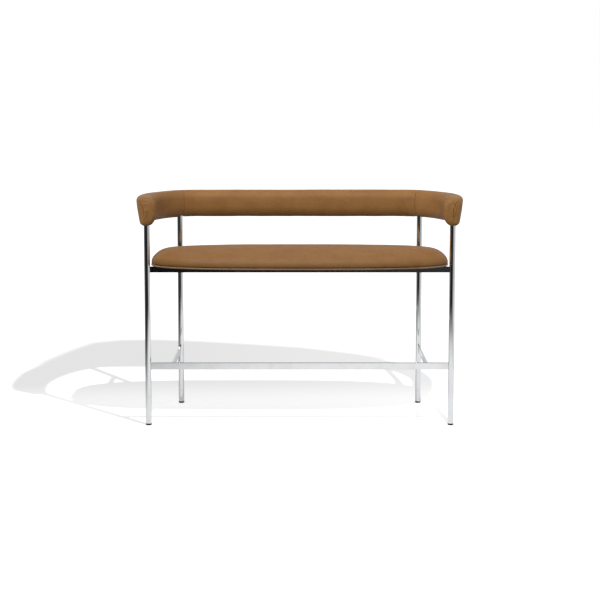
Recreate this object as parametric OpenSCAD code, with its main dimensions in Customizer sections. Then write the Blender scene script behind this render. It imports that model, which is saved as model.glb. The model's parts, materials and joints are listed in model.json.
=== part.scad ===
// Bar sofa for two: a chromed tube frame with a flat-bar seat ring and footrest, an oval leather seat
// pad, and one level leather hoop that is the back and both arms.
// X runs along the sofa, Y to its back, Z up. The origin is on the floor, in the middle of its outline.
// Inside the modules Y is counted from the front leg row, and stand() moves it to the origin's frame.

/* [Legs] */
// Outside diameter of the leg tubes
leg_dia = 25; // [20:0.5:26]
// Wall of the leg tubes
leg_wall = 1.5; // [1:0.25:3]
// Distance between the front leg centres
front_leg_spacing = 1290; // [1150:10:1500]
// How far the rear legs' centres stand inside the front legs' centres
rear_leg_inset = 102; // [96:1:125]

/* [Glides] */
// Height of the glide under each tube
glide_height = 8; // [5:1:15]
// Length of the ribbed plug inside the tube
glide_plug = 26; // [18:1:40]
// Ribs on each plug
glide_ribs = 4; // [2:1:6]

/* [Flat bars] */
// Thickness of the flat bars
bar_thick = 8; // [5:0.5:10]
// Height of the seat bars, which stand on edge
seat_bar_height = 25; // [20:1:40]
// Height of the seat bars' top edge above the floor
seat_bar_top = 682; // [600:1:740]
// Height of the footrest bars, which stand on edge
footrest_bar_height = 30; // [20:1:45]
// Height of the footrest bars' top edge above the floor
footrest_top_height = 270; // [180:1:350]
// How far the cross bar under the pad stands in front of the pad's rear edge
cross_bar_inset = 68; // [50:2:110]

/* [Seat fixings] */
// Length and width of a welded tab
tab_size = 32; // [26:1:40]
// Thickness of a welded tab
tab_thick = 4; // [3:0.5:6]
// Distance between neighbouring tabs
tab_spacing = 400; // [300:10:460]
// Diameter of the seat screws
screw_dia = 6; // [5:1:8]

/* [Seat pad] */
// How far the pad's ends stay inside the front legs' centres
pad_end_inset = 12; // [12:1:60]
// Depth of the pad at its fullest
pad_depth = 428; // [380:2:440]
// How far the pad reaches in front of the front legs' row
pad_reach = 128; // [100:2:150]
// Height of the pad at the middle of its crown, above the bars
pad_height = 70; // [60:0.5:90]
// Rise of the crown from the pad's shoulder to its middle
pad_crown = 7; // [3:0.5:12]
// Exponent of the pad's oval outline: 2 is an ellipse, and more is squarer
pad_squareness = 3.1; // [2.6:0.1:4.4]
// Thickness of the plywood board
board_thick = 15; // [12:1:18]
// Thickness of the leather, on the pad and the hoop
leather = 2; // [1.2:0.1:2.4]
// Thickness of the cloth under the board
cloth = 1; // [0.5:0.1:1.5]
// Diameter of the welt round the pad's lower edge
welt_dia = 7; // [5:0.5:8]

/* [Hoop] */
// Height of the hoop's top above the floor
hoop_top = 977; // [900:1:1050]
// Height of the hoop's section
hoop_height = 120; // [100:1:150]
// Width of the hoop's section at its fullest
hoop_width = 74.6; // [66:0.2:90]
// How far the outer side leans in towards the bottom
hoop_lean = 13; // [6:0.5:16]
// Radius of the arms' centre line
arm_radius = 380; // [370:1:400]
// Radius of the rear corners' centre line
corner_radius = 134; // [110:1:160]
// How far behind the front legs the arms are widest apart
arm_bow = 110; // [90:1:130]
// How far the arm ends reach in front of the front legs' centres
arm_reach = 34; // [28:1:45]

/* [Hoop core] */
// Outside diameter of the bent core tube, wider than the legs that it stands on
core_dia = 28; // [27:0.5:32]
// Wall of the core tube
core_wall = 2; // [1.5:0.25:3]
// Height of the core's centre line above the hoop's underside
core_rise = 62; // [50:1:70]

/* [Hidden] */

// Facets of a round part, of a wide arc and of a small fastener
$fn = 48;
arc_fn = 180;
small_fn = 32;

// Clearances: a soft part beside its neighbour, a push-in plug, a screw in its hole, and
// a tube in the leather and foam round it
soft_gap = 0.3;
plug_gap = 0.1;
hole_gap = 0.4;
tube_gap = 0.5;
// What a cutter runs past the faces it cuts
over = 1;

// Front and rear legs
leg_r = leg_dia / 2;
front_x = front_leg_spacing / 2;
rear_x = front_x - rear_leg_inset;

// The hoop's centre line in plan: a wide arc over each front leg runs into a tight corner arc, which
// passes over the rear leg and runs into the straight back. The two arcs touch where both are at the
// join angle. The legs stand under this line. Centres are kept to a hundredth of a millimetre.
join_angle = 45;
arc_step = arm_radius - corner_radius;
function rounded(v) = round(v * 100) / 100;
corner_c = [
    rounded(front_x - sqrt(arm_radius ^ 2 - arm_bow ^ 2) + arc_step * cos(join_angle)),
    rounded(arm_bow + arc_step * sin(join_angle))];
arm_c = corner_c - arc_step * [cos(join_angle), sin(join_angle)];
hoop_back = corner_c.y + corner_radius;
front_angle = -asin(arm_bow / arm_radius);
rear_angle = acos((rear_x - corner_c.x) / corner_radius);
rear_y = corner_c.y + corner_radius * sin(rear_angle);
// The arm covers end at a seam just in front of the front legs
seam_ahead = leg_r + tube_gap + leather;
seam_angle = front_angle - seam_ahead * 180 / (PI * arm_radius);
function arm_point(a) = arm_c + arm_radius * [cos(a), sin(a)];
seam_mid = arm_point(seam_angle);
// The core tube stops short of that seam by the flange of its end plug
plug_flange = 2;
core_angle = seam_angle + (plug_flange + soft_gap) * 180 / (PI * arm_radius);

// Heights
hoop_bottom = hoop_top - hoop_height;
core_z = hoop_bottom + core_rise;
board_z = seat_bar_top + cloth;
pad_z = seat_bar_top;

// The pad's rounded edge: where it is widest, how far its lower edge is drawn in, and the
// width of the rounding above
pad_width = 2 * (front_x - pad_end_inset);
pad_mid = pad_depth / 2 - pad_reach;
cross_bar_back = pad_depth - pad_reach - cross_bar_inset;
edge_z = 0.2 * pad_height;
edge_round = 72;
edge_drawn_in = 4;
board_inset = edge_drawn_in + leather + soft_gap;
pad_sides = 48;
outer_steps = 8;
inner_steps = 4;

// The welt: its sides, how far its middle is drawn in, how far it stands out, and its height. The
// cover's hem rests on its inner shoulder.
welt_sides = 12;
welt_inset = 2;
welt_flat = welt_dia / 2 * cos(180 / welt_sides);
welt_out = welt_flat - welt_inset;
welt_z = cloth + welt_dia / 2 + soft_gap;
hem_z = welt_z + sqrt((welt_flat + soft_gap) ^ 2 - (edge_drawn_in - welt_inset) ^ 2);

// The hoop's section: corner radii, and how far its sides swell between the corners
foot_r = 10;
outer_r = 18;
inner_r = 24;
belly_r = 28;
swell = 1.4;

// The origin's place: the middle between the welt's front and the hoop's back
mid_y = (hoop_back + hoop_width / 2 - pad_reach - welt_out) / 2;

chrome = [0.80, 0.81, 0.83];
steel = [0.55, 0.56, 0.58];
black = [0.08, 0.08, 0.08];
hide = [0.58, 0.40, 0.25];
foam = [0.93, 0.88, 0.70];
plywood = [0.80, 0.66, 0.46];

module stand() {
    translate([0, -mid_y, 0]) children();
}

// Points along an arc, from angle a to angle b in n steps
function arc(c, r, a, b, n) = [for (i = [0:n]) let (v = a + (b - a) * i / n) c + r * [cos(v), sin(v)]];

// A closed surface through rings of equal length, with a point closing each end
function loft_points(rings, first, last) = concat([first], [for (r = rings) each r], [last]);
function loft_faces(rings) =
    let (n = len(rings[0]), m = len(rings), end = n * m + 1)
    concat(
        [for (i = [0:n - 1]) [0, 1 + (i + 1) % n, 1 + i]],
        [for (k = [0:m - 2], i = [0:n - 1])
            let (j = (i + 1) % n, a = 1 + k * n)
            each [[a + i, a + j, a + n + j], [a + i, a + n + j, a + n + i]]],
        [for (i = [0:n - 1]) let (a = 1 + (m - 1) * n) [a + i, a + (i + 1) % n, end]]);

module loft(rings, first, last) {
    polyhedron(points = loft_points(rings, first, last), faces = loft_faces(rings));
}

// Frame

// A point of the hoop's centre line where a leg stands: side is -1 or 1, and row 0 is the front
function leg_spot(side, row) = row == 0 ? [side * front_x, 0] : [side * rear_x, rear_y];

module at_leg(side, row) {
    p = leg_spot(side, row);
    translate([p.x, p.y, 0]) children();
}

// Sweeps a flat section along one side of the hoop. Its x is counted outwards from the centre line.
// The corner arc is swept from the back's end by the angle a.
module sweep_corner_from_back(a) {
    translate([corner_c.x, corner_c.y, 0]) rotate(90) mirror([0, 1, 0])
        rotate_extrude(angle = a, $fn = arc_fn) translate([corner_radius, 0]) children();
}

// From the place where the arcs touch: back along the corner by the angle a, and forward along
// the arm by the angle b
module sweep_from_join(a, b) {
    translate([corner_c.x, corner_c.y, 0]) rotate(join_angle) {
        if (a > 0) rotate_extrude(angle = a, $fn = arc_fn) translate([corner_radius, 0]) children();
        translate([-arc_step, 0, 0]) mirror([0, 1, 0])
            rotate_extrude(angle = b, $fn = arc_fn) translate([arm_radius, 0]) children();
    }
}

module sweep_back() {
    translate([-corner_c.x, corner_c.y, 0]) rotate([90, 0, 90])
        linear_extrude(2 * corner_c.x) translate([corner_radius, 0]) children();
}

// The whole hoop, with each arm swept forward to the angle front
module sweep_hoop(front) {
    sweep_back() children();
    for (m = [0, 1]) mirror([m, 0, 0]) {
        sweep_corner_from_back(90 - join_angle) children();
        sweep_from_join(0, join_angle - front) children();
    }
}

// The back panel, from the seam over one rear leg to the seam over the other
module sweep_back_panel() {
    sweep_back() children();
    for (m = [0, 1]) mirror([m, 0, 0]) sweep_corner_from_back(90 - rear_angle) children();
}

// One arm's panel, from the seam over its rear leg forward to the angle front
module sweep_arm_panel(side, front) {
    mirror([side < 0 ? 1 : 0, 0, 0]) sweep_from_join(rear_angle - join_angle, join_angle - front) children();
}

// The stretch of the core's bend that lies over a right-hand leg
module core_over_leg(row) {
    centre = [arm_c, corner_c][row];
    radius = [arm_radius, corner_radius][row];
    half = asin(leg_dia / radius);
    translate([centre.x, centre.y, core_z]) rotate([front_angle, rear_angle][row] - half)
        rotate_extrude(angle = 2 * half, $fn = arc_fn) translate([radius, 0]) circle(core_dia / 2);
}

// A leg tube from its glide up to the core, coped at the top to the core's round
module leg(side, row) {
    color(chrome) stand() mirror([side < 0 ? 1 : 0, 0, 0]) difference() {
        at_leg(1, row) difference() {
            translate([0, 0, glide_height]) cylinder(r = leg_r, h = core_z - glide_height);
            translate([0, 0, glide_height - over])
                cylinder(r = leg_r - leg_wall, h = core_z - glide_height + 2 * over);
        }
        core_over_leg(row);
    }
}

// A push-in glide: a foot flush with the tube, and a ribbed plug with a tapered tip
module glide(side, row) {
    plug_r = leg_r - leg_wall - plug_gap;
    rib_depth = 0.8;
    stem_r = plug_r - rib_depth;
    chamfer = 1;
    taper = 3;
    top = glide_height + glide_plug;
    pitch = (glide_plug - taper - 1) / glide_ribs;
    ribs = [for (i = [0:glide_ribs - 1]) let (z = glide_height + 1 + i * pitch)
        each [[stem_r, z], [plug_r, z + pitch * 0.15],
            [plug_r, z + pitch * 0.35], [stem_r, z + pitch * 0.8]]];
    color(black) stand() at_leg(side, row) rotate_extrude() polygon(concat(
        [[0, 0], [leg_r - chamfer, 0], [leg_r, chamfer], [leg_r, glide_height], [stem_r, glide_height]],
        ribs,
        [[stem_r, top - taper], [stem_r - taper, top], [0, top]]));
}

// A flat bar on edge between the front legs, coped to the tubes
module front_bar(top, height) {
    color(chrome) stand() difference() {
        translate([-front_x, -bar_thick / 2, top - height]) cube([2 * front_x, bar_thick, height]);
        for (side = [-1, 1]) at_leg(side, 0)
            translate([0, 0, top - height - over]) cylinder(r = leg_r, h = height + 2 * over);
    }
}

// A flat bar on edge from the front bar's rear face to a rear leg, coped to the tube
module side_bar(side, top, height) {
    color(chrome) stand() difference() {
        translate([side * rear_x - bar_thick / 2, bar_thick / 2, top - height])
            cube([bar_thick, rear_y - bar_thick / 2, height]);
        at_leg(side, 1) translate([0, 0, top - height - over]) cylinder(r = leg_r, h = height + 2 * over);
    }
}

module seat_cross_bar() {
    half = rear_x - bar_thick / 2;
    color(chrome) stand() translate([-half, cross_bar_back, seat_bar_top - seat_bar_height])
        cube([2 * half, bar_thick, seat_bar_height]);
}

// Seat fixings: tabs behind the front bar and in front of the cross bar, one screw in each
tab_rows = [bar_thick / 2, cross_bar_back - tab_size];

module at_tabs(rows) {
    for (i = [-1:1], y = rows) translate([i * tab_spacing, y + tab_size / 2, 0]) children();
}

module seat_tabs(row) {
    color(steel) stand() at_tabs([tab_rows[row]]) difference() {
        translate([-tab_size / 2, -tab_size / 2, seat_bar_top - tab_thick])
            cube([tab_size, tab_size, tab_thick]);
        translate([0, 0, seat_bar_top - tab_thick - over])
            cylinder(d = screw_dia + 2 * hole_gap, h = tab_thick + 2 * over, $fn = small_fn);
    }
}

washer_thick = 1.6;
washer_dia = 2.6 * screw_dia;
washer_z = seat_bar_top - tab_thick - washer_thick;
head_height = 4;
head_dia = 2 * screw_dia;
head_top_dia = 1.3 * screw_dia;
socket_dia = 0.75 * screw_dia;
socket_depth = 2;
nut_flange = 1.5;
nut_flange_dia = 3 * screw_dia;
nut_barrel = 11;
nut_dia = screw_dia + 2;

// Hexagon socket button screws, from under the tabs into the T-nuts
module seat_screws() {
    reach = board_z + board_thick - nut_flange - washer_z;
    color(steel) stand() at_tabs(tab_rows) translate([0, 0, washer_z]) {
        difference() {
            translate([0, 0, -head_height])
                cylinder(d1 = head_top_dia, d2 = head_dia, h = head_height, $fn = small_fn);
            translate([0, 0, -head_height - over])
                cylinder(d = socket_dia, h = socket_depth + over, $fn = 6);
        }
        cylinder(d = screw_dia, h = reach, $fn = small_fn);
    }
}

module seat_washers() {
    color(steel) stand() at_tabs(tab_rows) translate([0, 0, washer_z]) difference() {
        cylinder(d = washer_dia, h = washer_thick, $fn = small_fn);
        translate([0, 0, -over])
            cylinder(d = screw_dia + 2 * plug_gap, h = washer_thick + 2 * over, $fn = small_fn);
    }
}

// T-nuts: a flange let into the board's top and a barrel down its hole
module board_t_nuts() {
    flange_z = board_z + board_thick - nut_flange;
    color(steel) stand() at_tabs(tab_rows) difference() {
        union() {
            translate([0, 0, flange_z]) cylinder(d = nut_flange_dia, h = nut_flange, $fn = small_fn);
            translate([0, 0, flange_z - nut_barrel]) cylinder(d = nut_dia, h = nut_barrel, $fn = small_fn);
        }
        translate([0, 0, flange_z - nut_barrel - over])
            cylinder(d = screw_dia + 2 * plug_gap, h = nut_barrel + nut_flange + 2 * over, $fn = small_fn);
    }
}

// Seat pad

// The pad's oval, drawn in by g all round
function pad_oval(g) = [for (i = [0:pad_sides - 1])
    let (t = 360 * i / pad_sides, k = 2 / pad_squareness)
    [(pad_width / 2 - g) * sign(cos(t)) * abs(cos(t)) ^ k,
        (pad_depth / 2 - g) * sign(sin(t)) * abs(sin(t)) ^ k + pad_mid]];

// Height of the pad's top where it is drawn in by g: a rounded edge and a gentle crown
function pad_rise(g) =
    let (e = min(g, edge_round) / edge_round)
    edge_z + (pad_height - pad_crown - edge_z) * sqrt(1 - (1 - e) ^ 2)
    + pad_crown * sin(180 * g / pad_depth);

// Rings of a skin of the pad that is set in by t, each as [drawn in, height]: the drawn-in side from
// the hem up, the rounded edge in n steps, and the crown
crown_shares = [0.45, 0.68, 0.9];
function skin_side(t) = [for (q = [0, 0.5])
    [t + edge_drawn_in * (1 - q) ^ 2, hem_z + (edge_z - t - hem_z) * q]];
function skin_edge(t, n) = [for (i = [0:n]) let (g = edge_round * (1 - cos(90 * i / n)))
    [t + g, pad_rise(g) - t]];
function skin_crown(t) = [for (s = crown_shares) let (g = s * pad_depth / 2) [t + g, pad_rise(g) - t]];
function skin_rings(t, n) = concat(skin_side(t), skin_edge(t, n), skin_crown(t));
function pad_ring(gz) = [for (p = pad_oval(gz[0])) [p.x, p.y, pad_z + gz[1]]];
function pad_peak(t) = [0, pad_mid, pad_z + pad_height - t];

// The cloth under the board, holed at the screws
module seat_underside_cloth() {
    color(black) stand() difference() {
        translate([0, 0, seat_bar_top]) linear_extrude(cloth) polygon(pad_oval(board_inset));
        at_tabs(tab_rows) translate([0, 0, seat_bar_top - over])
            cylinder(d = nut_dia, h = cloth + 2 * over, $fn = small_fn);
    }
}

module seat_board() {
    color(plywood) stand() difference() {
        translate([0, 0, board_z]) linear_extrude(board_thick) polygon(pad_oval(board_inset));
        at_tabs(tab_rows) {
            translate([0, 0, board_z - over])
                cylinder(d = nut_dia + 2 * plug_gap, h = board_thick + 2 * over, $fn = small_fn);
            translate([0, 0, board_z + board_thick - nut_flange])
                cylinder(d = nut_flange_dia + 2 * plug_gap, h = nut_flange + over, $fn = small_fn);
        }
    }
}

// Foam block with the crown, on the board. Its lowest ring lies where the skin passes the board's top.
module seat_foam() {
    t = leather + soft_gap;
    floor_z = board_z - pad_z + board_thick;
    edge = skin_edge(t, inner_steps);
    q = (floor_z - edge[0][1]) / (edge[1][1] - edge[0][1]);
    base = [edge[0][0] + q * (edge[1][0] - edge[0][0]), floor_z];
    rings = [for (gz = concat([base], [for (i = [1:inner_steps]) edge[i]], skin_crown(t))) pad_ring(gz)];
    color(foam) stand() loft(rings, [0, pad_mid, pad_z + floor_z], pad_peak(t));
}

// Leather cover: one skin over the crown and down to the hem above the welt
module seat_cover() {
    inner = skin_rings(leather, inner_steps);
    outer = skin_rings(0, outer_steps);
    rings = concat([for (i = [len(inner) - 1:-1:0]) pad_ring(inner[i])], [for (gz = outer) pad_ring(gz)]);
    color(hide) stand() loft(rings, pad_peak(leather), pad_peak(0));
}

// Welt: a round leather cord along the lower edge, in straight runs mitred along the oval
module seat_welt() {
    line = pad_oval(welt_inset);
    n = len(line);
    points = [for (i = [0:n - 1])
        let (d = line[(i + 1) % n] - line[(i + n - 1) % n], u = [d.y, -d.x] / norm(d))
        for (j = [0:welt_sides - 1]) let (a = 360 * (j + 0.5) / welt_sides)
        [line[i].x + u.x * welt_dia / 2 * cos(a), line[i].y + u.y * welt_dia / 2 * cos(a),
            pad_z + welt_z + welt_dia / 2 * sin(a)]];
    faces = [for (i = [0:n - 1], j = [0:welt_sides - 1])
        let (k = (j + 1) % welt_sides, a = i * welt_sides + j, b = i * welt_sides + k,
            c = (i + 1) % n * welt_sides + j, d = (i + 1) % n * welt_sides + k)
        each [[a, b, d], [a, d, c]]];
    color(hide) stand() polyhedron(points = points, faces = faces);
}

// Hoop

// The hoop's section, set in by t: u outwards from the centre line, and height above the underside
function section(t) =
    let (w = hoop_width / 2, h = hoop_height,
        foot = arc([w - hoop_lean - foot_r, foot_r], foot_r - t, -90, 0, 3),
        shoulder = arc([w - outer_r, h - outer_r], outer_r - t, 0, 90, 5),
        inner = arc([inner_r - w, h - inner_r], inner_r - t, 90, 180, 5),
        belly = arc([belly_r - w, belly_r], belly_r - t, 180, 270, 5))
    concat(
        foot, [(foot[3] + shoulder[0]) / 2 + [swell, 0]],
        shoulder, [(shoulder[5] + inner[0]) / 2 + [0, swell / 2]],
        inner, [(inner[5] + belly[0]) / 2 - [swell, 0]],
        belly);

module leg_holes(r) {
    for (side = [-1, 1], row = [0, 1]) at_leg(side, row)
        translate([0, 0, hoop_bottom - over]) cylinder(r = r, h = core_rise);
}

// Core: one bent tube over all four legs, welded to their tops
module hoop_core() {
    color(steel) stand() translate([0, 0, core_z]) sweep_hoop(core_angle) difference() {
        circle(core_dia / 2);
        circle(core_dia / 2 - core_wall);
    }
}

// A cap on each end of the core, with a plug that is slim enough to enter the bent tube
module core_end_plugs() {
    plug = 14;
    slack = 0.5;
    end = arm_point(core_angle);
    color(black) stand() for (m = [0, 1]) mirror([m, 0, 0])
        translate([end.x, end.y, core_z]) rotate([90, 0, core_angle]) {
            cylinder(d = core_dia, h = plug_flange);
            translate([0, 0, -plug]) cylinder(r = core_dia / 2 - core_wall - slack, h = plug);
        }
}

// The foam's section: a groove with a head cut in flats lets it slip down over the core and the legs
groove_r = core_dia / 2 + tube_gap;
module foam_section() {
    difference() {
        polygon(section(leather + soft_gap));
        polygon(concat(
            [[-groove_r, -over], [groove_r, -over]],
            [for (a = [15:30:165]) [0, core_rise] + groove_r / cos(15) * [cos(a), sin(a)]]));
    }
}

// Foam sections, glued end to end over the rear legs
module hoop_back_foam() {
    color(foam) stand() translate([0, 0, hoop_bottom]) sweep_back_panel() foam_section();
}

module arm_foam(side) {
    color(foam) stand() translate([0, 0, hoop_bottom]) sweep_arm_panel(side, seam_angle) foam_section();
}

// Foam strips that fill the groove again below the core, each cut square just short of its two legs
module strip_section() {
    r = groove_r - soft_gap;
    intersection() {
        polygon(section(leather + soft_gap));
        translate([-r, 0]) square([2 * r, core_rise - core_dia / 2 - soft_gap]);
    }
}

module leg_breaks() {
    for (m = [0, 1], row = [0, 1]) mirror([m, 0, 0]) at_leg(1, row) rotate([front_angle, rear_angle][row])
        translate([-leg_dia, -leg_r - tube_gap, hoop_bottom - over])
            cube([2 * leg_dia, leg_dia + 2 * tube_gap, core_rise]);
}

module back_groove_strip() {
    color(foam) stand() difference() {
        translate([0, 0, hoop_bottom]) sweep_back_panel() strip_section();
        leg_breaks();
    }
}

module arm_groove_strip(side) {
    color(foam) stand() difference() {
        translate([0, 0, hoop_bottom]) sweep_arm_panel(side, front_angle) strip_section();
        leg_breaks();
    }
}

module skin_section() {
    difference() {
        polygon(section(0));
        polygon(section(leather));
    }
}

module hoop_back_cover() {
    color(hide) stand() difference() {
        translate([0, 0, hoop_bottom]) sweep_back_panel() skin_section();
        leg_holes(leg_r + tube_gap);
    }
}

// The arm covers end at the seam just in front of the front leg
module arm_cover(side) {
    color(hide) stand() difference() {
        translate([0, 0, hoop_bottom]) sweep_arm_panel(side, seam_angle) skin_section();
        leg_holes(leg_r + tube_gap);
    }
}

// The arm end: rings that start at the seam, turn to face the front and round over to the tip.
// Each ring is the section shrunk about its middle, at a share s of the way to the tip.
end_rings = 5;
end_shrink = 0.42;
function end_ring(t, s) =
    let (reach = arm_reach + seam_mid.y - t, shrink = 1 - end_shrink * (1 - sqrt(1 - s ^ 3)),
        turn = seam_angle * (1 - s), c = [seam_mid.x + reach * s * sin(turn) / 2, seam_mid.y - reach * s],
        middle = hoop_height / 2)
    [for (p = section(t)) [
        c.x + p.x * shrink * cos(turn), c.y + p.x * shrink * sin(turn),
        hoop_bottom + middle + (p.y - middle) * shrink]];
function end_rings(t) = [for (i = [0:end_rings]) end_ring(t, sin(90 * i / end_rings))];
function end_tip(t) = [seam_mid.x, -arm_reach + t, hoop_bottom + hoop_height / 2];

module end_pad(side) {
    t = leather + soft_gap;
    rings = end_rings(t);
    first = [seam_mid.x, seam_mid.y, hoop_bottom + hoop_height / 2];
    color(foam) stand() mirror([side < 0 ? 1 : 0, 0, 0]) loft(rings, first, end_tip(t));
}

module end_cap(side) {
    inner = end_rings(leather);
    outer = end_rings(0);
    rings = concat([for (i = [end_rings:-1:0]) inner[i]], outer);
    color(hide) stand() mirror([side < 0 ? 1 : 0, 0, 0]) loft(rings, end_tip(leather), end_tip(0));
}

leg(-1, 0);  // front_left_leg
leg(1, 0);  // front_right_leg
leg(-1, 1);  // rear_left_leg
leg(1, 1);  // rear_right_leg
glide(-1, 0);  // front_left_glide
glide(1, 0);  // front_right_glide
glide(-1, 1);  // rear_left_glide
glide(1, 1);  // rear_right_glide
front_bar(seat_bar_top, seat_bar_height);  // seat_front_bar
side_bar(-1, seat_bar_top, seat_bar_height);  // seat_left_bar
side_bar(1, seat_bar_top, seat_bar_height);  // seat_right_bar
seat_cross_bar();
front_bar(footrest_top_height, footrest_bar_height);  // footrest_front_bar
side_bar(-1, footrest_top_height, footrest_bar_height);  // footrest_left_bar
side_bar(1, footrest_top_height, footrest_bar_height);  // footrest_right_bar
seat_tabs(0);  // front_seat_tabs
seat_tabs(1);  // rear_seat_tabs
seat_screws();
seat_washers();
board_t_nuts();
seat_underside_cloth();
seat_board();
seat_foam();
seat_cover();
seat_welt();
hoop_core();
core_end_plugs();
hoop_back_foam();
arm_foam(-1);  // hoop_left_foam
arm_foam(1);  // hoop_right_foam
back_groove_strip();
arm_groove_strip(-1);  // left_groove_strip
arm_groove_strip(1);  // right_groove_strip
end_pad(-1);  // left_end_pad
end_pad(1);  // right_end_pad
hoop_back_cover();
arm_cover(-1);  // hoop_left_cover
arm_cover(1);  // hoop_right_cover
end_cap(-1);  // left_end_cap
end_cap(1);  // right_end_cap
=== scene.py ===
# %% [markdown]
# # A bar sofa: dressing a CAD frame
# This lesson dresses a bar-height sofa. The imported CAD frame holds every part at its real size: the
# chromed tubes and flat bars, the fixings, the plywood board, and plain solids where foam and leather
# go. The hard parts stay and get better materials. The soft parts are built here again with their
# seams, puckers and creases, round the same measures.
#
# All lengths are metres. X runs along the sofa, Y to its back and Z up, and the origin is on the floor
# in the middle of the sofa's outline.

# %% The frame
import json
from math import acos, asin, cos, exp, gamma, hypot, pi, radians, sin, sqrt

import bmesh
import bpy
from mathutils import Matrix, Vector, noise


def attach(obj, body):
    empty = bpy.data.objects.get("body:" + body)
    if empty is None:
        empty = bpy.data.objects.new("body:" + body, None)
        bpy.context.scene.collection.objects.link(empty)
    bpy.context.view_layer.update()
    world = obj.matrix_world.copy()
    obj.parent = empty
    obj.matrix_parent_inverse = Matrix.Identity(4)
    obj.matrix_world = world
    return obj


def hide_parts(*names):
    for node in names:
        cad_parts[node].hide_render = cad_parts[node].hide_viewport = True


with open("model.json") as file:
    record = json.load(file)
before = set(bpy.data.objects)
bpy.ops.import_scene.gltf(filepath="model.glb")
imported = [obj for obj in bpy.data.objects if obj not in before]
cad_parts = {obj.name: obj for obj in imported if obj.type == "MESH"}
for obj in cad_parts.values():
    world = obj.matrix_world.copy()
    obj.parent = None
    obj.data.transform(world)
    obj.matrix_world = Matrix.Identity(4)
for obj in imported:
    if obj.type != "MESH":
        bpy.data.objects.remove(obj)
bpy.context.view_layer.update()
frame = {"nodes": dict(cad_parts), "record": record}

# %% [markdown]
# ## The camera
# A product picture of furniture is taken from far off with a long lens, so that upright legs stay
# upright. The lens here looks down a little and is shifted down as well, like a view camera's. The
# shift keeps the legs nearly parallel, and it is small enough to keep the sofa whole in other views.

# %% Camera
PICTURE = 600  # pixels, both ways
FOCAL = 1197.2  # pixels
PITCH = radians(5)
FRONT_ROW = -0.162935  # Y of the front legs
DISTANCE, EYE_HEIGHT = 5.020, 1.366  # of the lens, from the front legs and from the floor
SHIFT_RIGHT, SHIFT_UP = 0.0005, -0.152  # shares of the picture's side

camera = bpy.data.objects.new("camera", bpy.data.cameras.new("camera"))
camera.data.sensor_width = 36
camera.data.lens = FOCAL / PICTURE * camera.data.sensor_width
camera.data.shift_x = SHIFT_RIGHT
camera.data.shift_y = SHIFT_UP
camera.location = (0, FRONT_ROW - DISTANCE, EYE_HEIGHT)
camera.rotation_euler = (pi / 2 - PITCH, 0, 0)
bpy.context.scene.collection.objects.link(camera)
bpy.context.scene.camera = camera
print("lens", round(camera.data.lens, 1), "mm")

# %% [markdown]
# ## Node helpers
# Materials are trees of nodes. They could be drawn by hand in the editor, but written out they can be
# read and come out the same each time. Short helpers keep them readable: connect() links a socket or
# sets its value, node() makes a node with its inputs, and the others wrap the nodes that are used most.


# %% Node helpers
def connect(tree, socket, value):
    if isinstance(value, bpy.types.NodeSocket):
        tree.links.new(value, socket)
    else:
        socket.default_value = value


def node(tree, kind, inputs=None, **settings):
    n = tree.nodes.new(kind)
    for key, value in settings.items():
        setattr(n, key, value)
    for key, value in (inputs or {}).items():
        connect(tree, n.inputs[key], value)
    return n


def math(tree, operation, a, b=0.0, clamp=False):
    return node(tree, "ShaderNodeMath", {0: a, 1: b}, operation=operation, use_clamp=clamp).outputs[0]


def vector_math(tree, operation, a, b=(0, 0, 0)):
    return node(tree, "ShaderNodeVectorMath", {0: a, 1: b}, operation=operation).outputs


def axes(tree, vector):
    return node(tree, "ShaderNodeSeparateXYZ", {0: vector}).outputs


def blend(tree, share, first, second):
    """A colour from first to second, by a share."""
    return node(tree, "ShaderNodeMix", {0: share, 6: first, 7: second}, data_type="RGBA").outputs[2]


def ramp(tree, value, low, high, out_low=0.0, out_high=1.0):
    """The value from low to high, eased to a share from out_low to out_high."""
    return node(
        tree,
        "ShaderNodeMapRange",
        {"Value": value, "From Min": low, "From Max": high, "To Min": out_low, "To Max": out_high},
        interpolation_type="SMOOTHSTEP",
    ).outputs["Result"]


def new_group(name, inputs, outputs):
    """A shader node group with named float inputs and outputs, and its end nodes."""
    group = bpy.data.node_groups.new(name, "ShaderNodeTree")
    for label, default in inputs.items():
        socket = group.interface.new_socket(label, in_out="INPUT", socket_type="NodeSocketFloat")
        socket.default_value = default
    for label in outputs:
        group.interface.new_socket(label, in_out="OUTPUT", socket_type="NodeSocketFloat")
    return group, group.nodes.new("NodeGroupInput").outputs, group.nodes.new("NodeGroupOutput").inputs


# %% Material helpers
def feed(tree, n, **inputs):
    """Give a node's inputs their values by name, such as Base_Color=colour."""
    for name, value in inputs.items():
        connect(tree, n.inputs[name.replace("_", " ")], value)


def place_group(tree, group, **values):
    n = node(tree, "ShaderNodeGroup", node_tree=group)
    feed(tree, n, **values)
    return n.outputs


def object_place(tree):
    """Where a point of the piece is, in metres."""
    return node(tree, "ShaderNodeTexCoord").outputs["Object"]


def mottle(tree, place, scale, detail, **more):
    """Soft random spots. More inputs are given by name, such as Roughness=0.6."""
    inputs = {"Vector": place, "Scale": scale, "Detail": detail, **more}
    return node(tree, "ShaderNodeTexNoise", inputs).outputs


def new_material(name):
    material = bpy.data.materials.new(name)
    material.use_nodes = True
    tree = material.node_tree
    return material, tree, tree.nodes["Principled BSDF"]


def dent(tree, shader, height, strength, depth):
    """Make the surface look dented, from a height that changes over it."""
    bump = node(tree, "ShaderNodeBump", {"Height": height, "Strength": strength, "Distance": depth})
    feed(tree, shader, Normal=bump.outputs[0])


# %% [markdown]
# ## What chrome sees of the studio
# Chrome shows what stands around it. The studio is dark in the front left and behind the camera, and it
# brightens all the way round from there. That gives chrome its dark and light stripes and the seat's bar
# its dark face. Walls could be built for that, but they would block the lamps. So the studio is a rule
# for each direction instead, which both the floor and the world use.

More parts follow.
